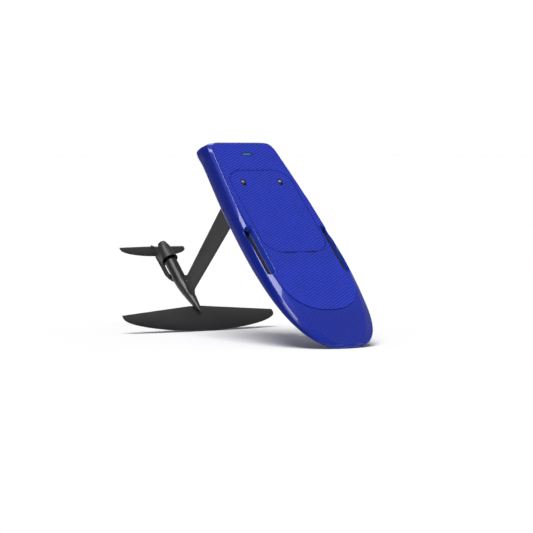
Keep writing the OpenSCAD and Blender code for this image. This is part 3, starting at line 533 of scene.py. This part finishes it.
BLUE = (0.0055, 0.021, 0.33)
PAD_BLUE = (0.020, 0.042, 0.48)
FINISH = {
    "hull_blue": lacquer("hull_lacquer", BLUE),
    "deck_blue": lacquer("deck_lacquer", BLUE, 20 * MM),
    "pad_blue": foam_pad("pad_foam", PAD_BLUE),
    # The trough's floor below -32 mm is painted near-black as painted shade.
    "cup_blue": lacquer("cup_lacquer", (0.022, 0.060, 0.55), painted_shade_below=-32 * MM),
    "foam": plain("core_foam", (0.82, 0.82, 0.80), 0.9, coarse=90, fine=350, bump=0.6, grain=0.6 * MM),
    "black_foil": plain("foil_carbon", (0.012, 0.012, 0.013), 0.42, fine=1400, bump=0.10, coat=0.15),
    "black_alu": plain("anodised_black", (0.016, 0.016, 0.017), 0.36, 0.35, fine=1800, bump=0.12),
    "black_plastic": plain("black_moulding", (0.010, 0.010, 0.011), 0.45, fine=1100, bump=0.25),
    # The latch lever's front, from X = 304 mm on, is painted near-black as painted shade.
    "grey_plastic": plain("grey_moulding", (0.42, 0.43, 0.48), 0.38, 0.2, fine=1100, bump=0.2,
                          painted_shade_from=304 * MM),
    "rubber_black": plain("rubber", (0.015, 0.015, 0.015), 0.75, fine=700, bump=0.35, specular=0.3),
    "steel": plain("stainless", (0.56, 0.56, 0.57), 0.28, 1.0, 0.06, fine=1600, bump=0.12,
                   stretch=(1, 1, 12)),
    "lens": glow("light_lens_cyan", (0.03, 0.32, 0.50), 0.16),
    "battery_case": plain("battery_moulding", (0.025, 0.026, 0.030), 0.5, fine=800, bump=0.35),
    "alu": plain("milled_alloy", (0.62, 0.62, 0.64), 0.33, 1.0, 0.05, fine=1500, bump=0.15,
                 stretch=(1, 10, 1)),
    "block": plain("dense_block", (0.45, 0.30, 0.16), 0.75, coarse=30, fine=400, bump=0.4,
                   stretch=(1, 9, 1)),
    "copper": plain("windings", (0.50, 0.22, 0.09), 0.35, 1.0, 0.2, coarse=60, fine=500, bump=0.5),
    "cable_red": plain("red_insulation", (0.42, 0.02, 0.015), 0.5, fine=900, bump=0.2),
}


# ---- Board shells ----
def board_skin():
    rings = []
    for x in spread(0.0, LENGTH, 170):
        half = half_section(x)
        port = [(x - rake(x, z), y, z) for y, z in half]
        rings.append(port + [(px, -y, z) for px, y, z in reversed(port[1:-1])])
    return loft(rings)


PARTING_TAIL = -0.52 * THICKNESS
PARTING_NOSE = -0.5 * NOSE_THICKNESS
SEAM = 0.06 * MM


def half_shell(name, upper):
    """One of the two shells: the board's skin on one side of the seam, with the wall inside it."""
    made = mesh_object(name, *board_skin())
    slope = Vector((PARTING_TAIL - PARTING_NOSE, 0, LENGTH)).normalized()
    side = 1 if upper else -1
    bm = bmesh.new()
    bm.from_mesh(made.data)
    bmesh.ops.bisect_plane(
        bm, geom=bm.verts[:] + bm.edges[:] + bm.faces[:],
        plane_co=Vector((0, 0, PARTING_TAIL + side * SEAM)), plane_no=slope,
        clear_inner=upper, clear_outer=not upper,
    )
    bm.to_mesh(made.data)
    bm.free()
    wall = made.modifiers.new("wall", "SOLIDIFY")
    wall.thickness = SKIN
    wall.offset = -1
    return apply_modifiers(made)


LID_GAP = 2.5 * MM
LID_CORNER = 95 * MM
LID_HALF = LID_HIGH.y
END_STEPS = 16


def lid_outline(grow):
    return rounded(LID_LOW.x - grow, LID_HIGH.x + grow, LID_HALF + grow, LID_CORNER + grow)


def outline_of(node, grow):
    """Round-ended slot outline round a CAD node."""
    low, high = board_box(node)
    middle = (low.y + high.y) / 2
    half = (high.y - low.y) / 2 + grow
    return shifted(rounded(low.x - grow, high.x + grow, half, half - 1e-5, END_STEPS), 0, middle)


def block(name, x0, x1, y0, y1, z0, z1):
    return prism(name, [(x0, y0), (x1, y0), (x1, y1), (x0, y1)], z0, z1)


CUT_TOP = PAD_HEIGHT + 2 * MM
light_low, light_high = board_box("light_housing")
leaf_high = board_box("hinge_deck_leaves")[1]
BOTH_SIDES = (-1, 1)
HINGE_SIDE = 66 * MM
HINGE_HALF = leaf_high.y - HINGE_SIDE + 1.5 * MM
KNUCKLE = 3 * MM
LEAF_TOP = 2.2 * MM


def hinge_rooms(x0, x1, z0, z1):
    return [
        block("room", x0, x1, s * HINGE_SIDE - HINGE_HALF, s * HINGE_SIDE + HINGE_HALF, z0, z1)
        for s in BOTH_SIDES
    ]


def light_room(grow, z0):
    return block("room", light_low.x - grow, light_high.x + grow,
                 light_low.y - grow, light_high.y + grow, z0, CUT_TOP)


BEZEL_HALF = 36 * MM
BEZEL_WIDTH = 9.5 * MM
BEZEL_STEPS = 24
BEZEL_POINT = 0.9


def bezel_outline(grow):
    """Lens shape round the light: two flat arcs that meet at its ends."""
    middle = (light_low.x + light_high.x) / 2
    turns = [math.pi * k / BEZEL_STEPS for k in range(BEZEL_STEPS + 1)]
    side = [(math.cos(a), math.sin(a) ** BEZEL_POINT) for a in turns]
    near = [(middle + (BEZEL_WIDTH + grow) * h, (BEZEL_HALF + grow) * c) for c, h in side]
    far = [(middle - (BEZEL_WIDTH + grow) * h, -(BEZEL_HALF + grow) * c) for c, h in side[1:-1]]
    return near + far


deck = half_shell("deck_shell_skin", True)
combine(deck, [
    prism("room", lid_outline(LID_GAP), -60 * MM, CUT_TOP),
    prism("room", outline_of("handle_cup_left", 0.2 * MM), -60 * MM, CUT_TOP),
    prism("room", outline_of("handle_cup_right", 0.2 * MM), -60 * MM, CUT_TOP),
    light_room(0.3 * MM, -10 * MM),
    *hinge_rooms(LID_HIGH.x, HINGE.x + KNUCKLE + 1 * MM, -10 * MM, CUT_TOP),
])
dress(deck, FINISH["deck_blue"], "deck_blue", "root", "deck_shell")

hull = half_shell("hull_shell_skin", False)
dress(hull, FINISH["hull_blue"], "hull_blue", "root", "hull_shell")


# ---- Grooved foam pads ----
GROOVE_PITCH = 14 * MM
NOTCH_PITCH = 16 * MM
GROOVE_WIDTH = 5.0 * MM
NOTCH_WIDTH = 2.5 * MM
GROOVE_DEPTH = 2.5 * MM
NOTCH_DEPTH = 0.8 * MM
GROOVE_ANGLE = math.radians(63)


def steps_across(reach, pitch, width, deep):
    """Positions across a family of grooves, each with how deep the foam is cut there."""
    count = math.ceil(reach / pitch)
    found = []
    for i in range(-count, count + 1):
        middle = i * pitch
        found += [(middle - width / 2, 0.0), (middle, deep), (middle + width / 2, 0.0)]
    return found


def grooved_slab(name, x0, x1, half):
    """Closed slab whose top is covered by slanting grooves with notches between them."""
    along = Vector((-math.cos(GROOVE_ANGLE), math.sin(GROOVE_ANGLE)))
    across = Vector((math.cos(GROOVE_ANGLE), math.sin(GROOVE_ANGLE)))
    centre = Vector(((x0 + x1) / 2, 0))
    reach = (x1 - x0) / 2 + half
    rows = steps_across(reach, GROOVE_PITCH / math.sin(2 * GROOVE_ANGLE), GROOVE_WIDTH, GROOVE_DEPTH)
    columns = steps_across(reach, NOTCH_PITCH / math.sin(2 * GROOVE_ANGLE), NOTCH_WIDTH, NOTCH_DEPTH)
    top, bottom = [], []
    for u, cut_u in rows:
        for v, cut_v in columns:
            p = centre + across * u + along * v
            top.append((p.x, p.y, PAD_HEIGHT - max(cut_u, cut_v)))
            bottom.append((p.x, p.y, 0.0))
    n = len(columns)
    m = len(rows)
    faces = [(i * n + j, i * n + j + 1, (i + 1) * n + j + 1, (i + 1) * n + j)
             for i in range(m - 1) for j in range(n - 1)]
    rim = [*range(n), *(i * n + n - 1 for i in range(1, m)),
           *((m - 1) * n + j for j in range(n - 2, -1, -1)), *(i * n for i in range(m - 2, 0, -1))]
    vertices = top + [bottom[k] for k in rim]
    base = len(top)
    count = len(rim)
    for k in range(count):
        faces.append((rim[k], base + k, base + (k + 1) % count, rim[(k + 1) % count]))
    faces.append(tuple(base + k for k in range(count)))
    return mesh_object(name, vertices, faces)


PAD_TURN = 255 * MM
PAD_MARGIN = 3 * MM


def pad_half(x):
    u = clamp((x - PAD_FRONT + PAD_TURN) / PAD_TURN)
    return min(deck_half(x) - PAD_MARGIN, (DECK_MID - 14 * MM) * (1 - u**2.4) ** (1 / 2.4))


def pad_outline():
    xs = spread(PAD_REAR, PAD_FRONT, 90)
    port = [(x, pad_half(x)) for x in xs[:-1]]
    return port + [(PAD_FRONT, 0.0)] + [(x, -y) for x, y in reversed(port)]


deck_pad = grooved_slab("deck_pad_foam", PAD_REAR, PAD_FRONT, DECK_MID)
combine(deck_pad, [prism("keep", pad_outline(), -1 * MM, CUT_TOP)], "INTERSECT")
combine(deck_pad, [
    prism("room", lid_outline(LID_GAP), -2 * MM, CUT_TOP),
    prism("room", outline_of("handle_cup_left", 2 * MM), -2 * MM, CUT_TOP),
    prism("room", outline_of("handle_cup_right", 2 * MM), -2 * MM, CUT_TOP),
    prism("room", bezel_outline(1 * MM), -2 * MM, CUT_TOP),
    *hinge_rooms(HINGE.x, leaf_high.x + 0.6 * MM, -2 * MM, LEAF_TOP),
    *hinge_rooms(HINGE.x - 2 * MM, HINGE.x + KNUCKLE + 1.5 * MM, -2 * MM, CUT_TOP),
])
dress(deck_pad, FINISH["pad_blue"], "pad_blue", "root", "deck_pad")

lid_pad = grooved_slab("lid_pad_foam", LID_LOW.x, LID_HIGH.x, LID_HALF)
lid_leaf_low = board_box("hinge_lid_leaves")[0]
combine(lid_pad, [prism("keep", lid_outline(-1 * MM), -1 * MM, CUT_TOP)], "INTERSECT")
cup_low, cup_high = board_box("latch_cups")
LATCH_SIDE = (BOARD @ Vector(joints["left_latch_lift"]["pos_m"])).y
LATCH_HALF = cup_high.y - LATCH_SIDE
LATCH_GAP = 0.5 * MM
latch_slot = rounded(
    cup_low.x - LATCH_GAP, cup_high.x + LATCH_GAP, LATCH_HALF + LATCH_GAP, LATCH_HALF, END_STEPS,
)
combine(lid_pad, [
    *(prism("room", shifted(latch_slot, 0, s * LATCH_SIDE), -2 * MM, CUT_TOP) for s in BOTH_SIDES),
    *hinge_rooms(lid_leaf_low.x - 0.6 * MM, HINGE.x + 1 * MM, -2 * MM, LEAF_TOP),
    *hinge_rooms(HINGE.x - KNUCKLE - 1 * MM, HINGE.x + 1 * MM, -2 * MM, CUT_TOP),
])
dress(lid_pad, FINISH["pad_blue"], "pad_blue", "lid", "lid_pad")


# ---- Handle recesses ----
HANDLE_FLOOR = -36 * MM
CUP_WALL = 2.4 * MM


def handle_cup(node, name):
    """Smooth trough with steep walls and a floor painted near-black as painted shade, and a lip that follows the
    deck.
    """
    low, high = board_box(node)
    middle = (low.y + high.y) / 2
    half = (high.y - low.y) / 2
    centre_x = (low.x + high.x) / 2
    straight = (high.x - low.x) / 2 - half
    count = 22

    def ring(inset, drop):
        """drop is the share of the local depth; 0 follows the deck."""
        points = []
        r = half - inset
        for end in (1, -1):
            for k in range(count + 1):
                a = math.radians(-90 * end + 180 * k / count)
                points.append((centre_x + end * straight + r * math.cos(a), middle + r * math.sin(a)))
        placed = []
        for x, y in points:
            rim = deck_height(x, y)
            placed.append((x, y, rim + (HANDLE_FLOOR - rim) * drop))
        return placed

    rings = [ring(0.0, 0.0), ring(0.8 * MM, 0.015), ring(1.5 * MM, 0.06), ring(2.1 * MM, 0.2),
             ring(2.8 * MM, 0.5), ring(3.6 * MM, 0.8), ring(5.2 * MM, 0.93), ring(8 * MM, 0.985),
             ring(11 * MM, 1.0), ring(half - 0.5 * MM, 1.0)]
    vertices, faces = loft(rings, caps=False)
    last = (len(rings) - 1) * len(rings[0])
    faces.append(tuple(last + k for k in range(len(rings[0]))))
    made = mesh_object(name, vertices, faces)
    bm = bmesh.new()
    bm.from_mesh(made.data)
    bmesh.ops.recalc_face_normals(bm, faces=bm.faces)
    middle_face = max(bm.faces, key=lambda f: f.calc_area())
    if middle_face.normal.z < 0:
        bmesh.ops.reverse_faces(bm, faces=bm.faces)
    bm.to_mesh(made.data)
    bm.free()
    wall = made.modifiers.new("wall", "SOLIDIFY")
    wall.thickness = CUP_WALL
    wall.offset = -1
    apply_modifiers(made)
    dress(made, FINISH["cup_blue"], "cup_blue", "root", node)


handle_cup("handle_cup_left", "handle_trough_left")
handle_cup("handle_cup_right", "handle_trough_right")


# ---- Foils ----
def foil_half_thickness(f, ratio):
    """Half the thickness of a four-digit foil with a closed trailing edge, as a share of the chord."""
    front = 0.2969 * math.sqrt(f) - 0.126 * f - 0.3516 * f**2
    return 5 * ratio * (front + 0.2843 * f**3 - 0.1036 * f**4)


FOIL_EDGE = 0.0025


def foil(ratio, camber=0.0, count=72):
    """Closed foil section as (share of the chord, height as a share of the chord)."""
    points = []
    for i in range(count):
        a = 2 * math.pi * i / count
        f = (1 + math.cos(a)) / 2
        side = 1 if a < math.pi else -1
        thin = max(foil_half_thickness(f, ratio), FOIL_EDGE)
        raised = side * thin if i > 0 else 0.0
        points.append((f, raised + 4 * camber * f * (1 - f)))
    return points


def level_ring(y, front, chord, z, ratio, camber):
    return [(front - f * chord, y, z + h * chord) for f, h in foil(ratio, camber)]


def upright_ring(z, front, chord, ratio):
    return [(front - f * chord, h * chord, z) for f, h in foil(ratio)]


wing_high = board_box("front_wing")[1]
WING_FRONT = wing_high.x
WING_CHORD = 182 * MM
WING_HALF = wing_high.y
WING_FLAT = 40 * MM
WING_SWEEP = 113 * MM
WING_Z = AXIS_Z + 14 * MM
TIP_CHORD = 22 * MM


def wing_ring(y):
    u = clamp((abs(y) - WING_FLAT) / (WING_HALF - WING_FLAT))
    front = WING_FRONT - WING_SWEEP * (1 - (1 - u**1.5) ** 0.5)
    rear = WING_FRONT - WING_CHORD + (WING_CHORD - WING_SWEEP - TIP_CHORD) * u
    return level_ring(y, front, front - rear, WING_Z, 0.13 - 0.04 * u, 0.02)


def spanned(half, start, steps):
    side = [start + (half - start) * math.sin(math.pi / 2 * i / steps) for i in range(steps + 1)]
    return [-y for y in reversed(side)] + side


wing = mesh_object("front_wing_skin", *loft([wing_ring(y) for y in spanned(WING_HALF, WING_FLAT, 44)]))
dress(wing, FINISH["black_foil"], "black_foil", "root", "front_wing", angle=60)

stab_low, stab_high = board_box("stabiliser")
STAB_FRONT = stab_high.x
STAB_CHORD = 75 * MM
STAB_HALF = stab_high.y
STAB_SWEEP = 58 * MM
STAB_TIP = 14 * MM
STAB_Z = (stab_low.z + stab_high.z) / 2


def stab_ring(y):
    u = abs(y) / STAB_HALF
    front = STAB_FRONT - STAB_SWEEP * (1 - (1 - u**1.8) ** 0.45)
    rear = STAB_FRONT - STAB_CHORD + (STAB_CHORD - STAB_SWEEP - STAB_TIP) * u * u
    return level_ring(y, front, front - rear, STAB_Z, 0.11, 0.0)


stab_rings = [stab_ring(y) for y in spanned(STAB_HALF, 0.5 * MM, 30)]
stabiliser = mesh_object("stabiliser_skin", *loft(stab_rings))
dress(stabiliser, FINISH["black_foil"], "black_foil", "root", "stabiliser", angle=60)

# ---- Mast, saddle and fuselage ----
mast_low, mast_high = board_box("mast")
MAST_FRONT = mast_high.x
MAST_CHORD = 158 * MM
MAST_THICKNESS = 17 * MM
FOOT_CHORD = 108 * MM
FOOT_THICKNESS = 14 * MM
FOOT_FRONT = MAST_FRONT - 21 * MM
mast = mesh_object("mast_extrusion", *loft([
    upright_ring(mast_low.z + (mast_high.z - mast_low.z) * t,
                 FOOT_FRONT + (MAST_FRONT - FOOT_FRONT) * t,
                 FOOT_CHORD + (MAST_CHORD - FOOT_CHORD) * t,
                 (FOOT_THICKNESS + (MAST_THICKNESS - FOOT_THICKNESS) * t)
                 / (FOOT_CHORD + (MAST_CHORD - FOOT_CHORD) * t))
    for t in (i / 24 for i in range(25))
]))
dress(mast, FINISH["black_alu"], "black_alu", "root", "mast", angle=60)

saddle_high = board_box("mast_saddle")[1].z
SADDLE = [
    (AXIS_Z + 22 * MM, FOOT_FRONT + 50 * MM, FOOT_CHORD + 90 * MM, 0.22),
    (AXIS_Z + 32 * MM, FOOT_FRONT + 40 * MM, FOOT_CHORD + 72 * MM, 0.22),
    (saddle_high - 18 * MM, FOOT_FRONT + 16 * MM, FOOT_CHORD + 34 * MM, 0.19),
    (saddle_high - 6 * MM, FOOT_FRONT + 5 * MM, FOOT_CHORD + 12 * MM, 0.175),
    (saddle_high, FOOT_FRONT + 3 * MM, FOOT_CHORD + 6 * MM, 0.175),
]


def through(stations, t):
    """Smooth curve through a list of tuples, t from 0 to 1."""
    at = t * (len(stations) - 1)
    i = min(int(at), len(stations) - 2)
    w = at - i
    p = [stations[min(max(i + k, 0), len(stations) - 1)] for k in (-1, 0, 1, 2)]
    return tuple(
        0.5 * (2 * b + (c - a) * w
               + (2 * a - 5 * b + 4 * c - d) * w * w
               + (3 * b - a - 3 * c + d) * w**3)
        for a, b, c, d in zip(*p)
    )


SADDLE_STEPS = 28
saddle_rings = [upright_ring(*through(SADDLE, i / SADDLE_STEPS)) for i in range(SADDLE_STEPS + 1)]
saddle = mesh_object("mast_saddle_casting", *loft(saddle_rings))
bevel(saddle, 1.2 * MM, angle=50)
dress(saddle, FINISH["black_foil"], "black_foil", "root", "mast_saddle", angle=60)

NOSE_LENGTH = 260 * MM
NOSE_RISE = 37 * MM


def nose_ring(t, count=64):
    r = POD_RADIUS * max(1 - t**1.7, 0.0) ** 0.7
    return [(POD_HIGH.x + NOSE_LENGTH * t, r * math.cos(2 * math.pi * k / count),
             AXIS_Z + NOSE_RISE * t - r * math.sin(2 * math.pi * k / count)) for k in range(count)]


fuselage = mesh_object("fuselage_nose_cone", *loft([
    nose_ring(min(math.sin(math.pi / 2 * i / 48), 0.9985)) for i in range(49)]))
dress(fuselage, FINISH["black_foil"], "black_foil", "root", "fuselage_nose", angle=60)


# ---- Tail fin: a plate with a raised rim ----
# Corners in millimetres, as (X, distance under the axis of the pod)
FIN_OUTLINE = [
    (116, 29), (94, 45), (39, 79), (-7, 96), (-81, 98), (-156.5, 102), (-156.5, 95),
    (-242, 95), (-181, 51), (-104, 68), (48, 66), (56, 29),
]
FIN_RIM = 5 * MM
FIN_RECESS = 1.3 * MM


def tail_fin():
    half = board_box("tail_fin")[1].y
    outline = [(x * MM, AXIS_Z - drop * MM) for x, drop in FIN_OUTLINE]
    rings = [[(x, y, z) for x, z in outline] for y in (-half, half)]
    made = mesh_object("tail_fin_plate", *loft(rings))
    bm = bmesh.new()
    bm.from_mesh(made.data)
    sides = [f for f in bm.faces if abs(f.normal.y) > 0.9]
    bmesh.ops.inset_individual(
        bm, faces=sides, thickness=FIN_RIM, depth=-FIN_RECESS, use_even_offset=True,
    )
    bm.to_mesh(made.data)
    bm.free()
    bevel(made, 1.6 * MM, 3, 25)
    dress(made, FINISH["black_foil"], "black_foil", "root", "tail_fin", angle=40)


tail_fin()

# ---- Bezel round the light ----
bezel = prism("light_bezel", bezel_outline(0.0), 0.2 * MM, PAD_HEIGHT - 0.4 * MM)
lens_low, lens_high = board_box("light_lens")
LENS_COVER = 2.6 * MM
combine(bezel, [
    block("room", lens_low.x - 0.4 * MM, lens_high.x + 0.4 * MM,
          lens_low.y - 0.4 * MM, lens_high.y + 0.4 * MM, -1 * MM, lens_high.z + 0.05 * MM),
    block("room", lens_low.x + 0.6 * MM, lens_high.x - 0.6 * MM,
          lens_low.y + LENS_COVER, lens_high.y - LENS_COVER, -1 * MM, CUT_TOP),
])
bevel(bezel, 0.2 * MM, 2, 50)
dress(bezel, FINISH["black_plastic"], "black_plastic", "root", angle=50)

# ---- CAD nodes that stay, with their materials ----
slots = {part["node"]: part["material_slot"] for part in record["subparts"]}
EDGES = {
    "mast_plate": 1.5 * MM, "motor_housing": 0.6 * MM, "rear_cover": 0.6 * MM, "duct_shroud": 0.5 * MM,
    "nozzle": 0.5 * MM, "latch_cups": 0.5 * MM, "latch_lever_left": 0.8 * MM,
    "latch_lever_right": 0.8 * MM, "battery_lid": 0.6 * MM, "battery_pack": 3 * MM,
    "speed_controller": 1.0 * MM, "hinge_deck_leaves": 0.4 * MM, "hinge_lid_leaves": 0.4 * MM,
    "hold_down_bar": 0.8 * MM, "bay_tub": 0.8 * MM, "light_housing": 0.5 * MM, "light_lens": 0.8 * MM,
    "guide_vanes": 0.4 * MM, "impeller": 0.4 * MM, "intake_struts": 0.4 * MM,
}
dark_steel = plain("blackened_steel", (0.03, 0.03, 0.032), 0.4, 0.8, fine=1600, bump=0.12)
for node, made in frame["nodes"].items():
    if made.hide_render:
        continue
    made.data.materials.clear()
    made.data.materials.append(dark_steel if node.startswith("hinge") else FINISH[slots[node]])
    if node in EDGES:
        bevel(made, EDGES[node], 2, 40)

# ---- Floor, light and camera ----
FLOOR_REACH = 400.0


def floor():
    data = bpy.data.meshes.new("floor")
    r = FLOOR_REACH
    data.from_pydata([(-r, -r, 0), (r, -r, 0), (r, r, 0), (-r, r, 0)], [], [(0, 1, 2, 3)])
    made = bpy.data.objects.new("floor", data)
    bpy.context.scene.collection.objects.link(made)
    material, nodes, link, shader = new_material("pale_floor")
    at = coordinates(nodes, link)
    link(mixed(nodes, link, noise(nodes, link, at, 0.8), (0.86, 0.86, 0.86), (0.88, 0.88, 0.88)),
         shader.inputs["Base Color"])
    shader.inputs["Roughness"].default_value = 0.9
    shader.inputs["Specular IOR Level"].default_value = 0.1
    data.materials.append(material)


floor()


def aimed(name, data, place, target):
    made = bpy.data.objects.new(name, data)
    bpy.context.scene.collection.objects.link(made)
    made.location = place
    made.rotation_mode = "QUATERNION"
    made.rotation_quaternion = (Vector(target) - Vector(place)).to_track_quat("-Z", "Y")
    return made


def toward(azimuth, elevation):
    a, e = math.radians(azimuth), math.radians(elevation)
    return Vector((math.sin(a) * math.cos(e), -math.cos(a) * math.cos(e), math.sin(e)))


SUN_DISTANCE = 5


def sun(name, energy, spread_deg, direction, glossy, diffuse):
    """Distant softbox, seen either by matt surfaces or in reflections."""
    data = bpy.data.lights.new(name, "SUN")
    data.energy = energy
    data.angle = math.radians(spread_deg)
    made = aimed(name, data, Vector(direction) * SUN_DISTANCE, (0, 0, 0))
    made.visible_glossy = glossy
    made.visible_diffuse = diffuse


sun("key", 2.9, 40, (0.13, -0.24, 0.95), False, True)
sun("rail_softbox", 3.0, 40, (0.11, -0.40, 0.90), True, False)
sun("tail_softbox", 0.5, 28, (-0.585, 0.243, 0.775), True, False)

world = bpy.data.worlds.new("studio")
bpy.context.scene.world = world
world.use_nodes = True
sky = world.node_tree.nodes["Background"]
sky.inputs["Color"].default_value = (1, 1, 1, 1)
paths = world.node_tree.nodes.new("ShaderNodeLightPath")
level = world.node_tree.nodes.new("ShaderNodeMapRange")
SEEN_SKY = 1.0
FILL_SKY = 0.29
level.inputs["To Min"].default_value = FILL_SKY
level.inputs["To Max"].default_value = SEEN_SKY
world.node_tree.links.new(paths.outputs["Is Camera Ray"], level.inputs["Value"])
world.node_tree.links.new(level.outputs["Result"], sky.inputs["Strength"])
bpy.context.scene.view_settings.view_transform = "Standard"

CAMERA_DISTANCE = 12.0
CAMERA_AZIMUTH = 56.3
CAMERA_ELEVATION = 2.88
CAMERA_LENS = 154.2
CAMERA_SENSOR = 36
CAMERA_REACH = 2000
LOOK_AT = Vector((0.213, 0, 0.3777))
camera_data = bpy.data.cameras.new("camera")
camera_data.lens = CAMERA_LENS
camera_data.sensor_width = CAMERA_SENSOR
camera_data.clip_end = CAMERA_REACH
camera = aimed("camera", camera_data,
               LOOK_AT + toward(CAMERA_AZIMUTH, CAMERA_ELEVATION) * CAMERA_DISTANCE, LOOK_AT)
bpy.context.scene.camera = camera
